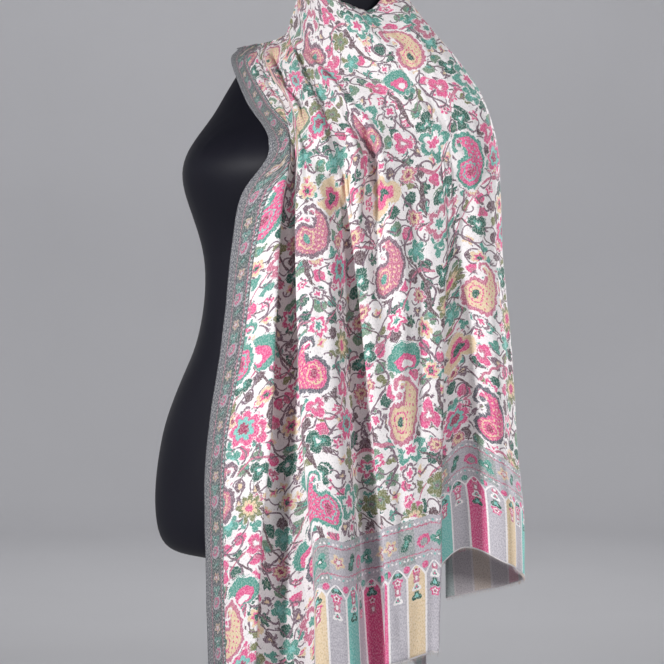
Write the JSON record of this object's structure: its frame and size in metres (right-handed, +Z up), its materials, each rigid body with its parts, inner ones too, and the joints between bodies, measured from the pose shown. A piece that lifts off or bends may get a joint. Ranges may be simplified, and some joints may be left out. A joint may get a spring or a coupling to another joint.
{
  "type": "wool shawl on a dress form",
  "caption": "Long patterned wool shawl gathered over the shoulders of a limbless dress form on a round-based stand, one end hanging in front and the other behind.",
  "frame": {"origin": "centre of the stand base's underside, on the floor", "axes": "+Z up; -Y towards the viewer who sees the front of the shawl; +X to that viewer's right. The form faces 30 degrees round from -Y towards -X."},
  "size_m": [0.5577, 0.4516, 1.5],
  "materials": {
    "stand_paint": "satin black paint",
    "form_shell": "matt navy black",
    "printed_wool": "soft matt wool with an ivory ground and a flower and paisley pattern"
  },
  "bodies": {
    "root": {"stand_base": "stand_paint", "stand_pole": "stand_paint", "dress_form": "form_shell", "shawl_front_fall": "printed_wool", "shawl_back_fall": "printed_wool"}
  },
  "joints": []
}
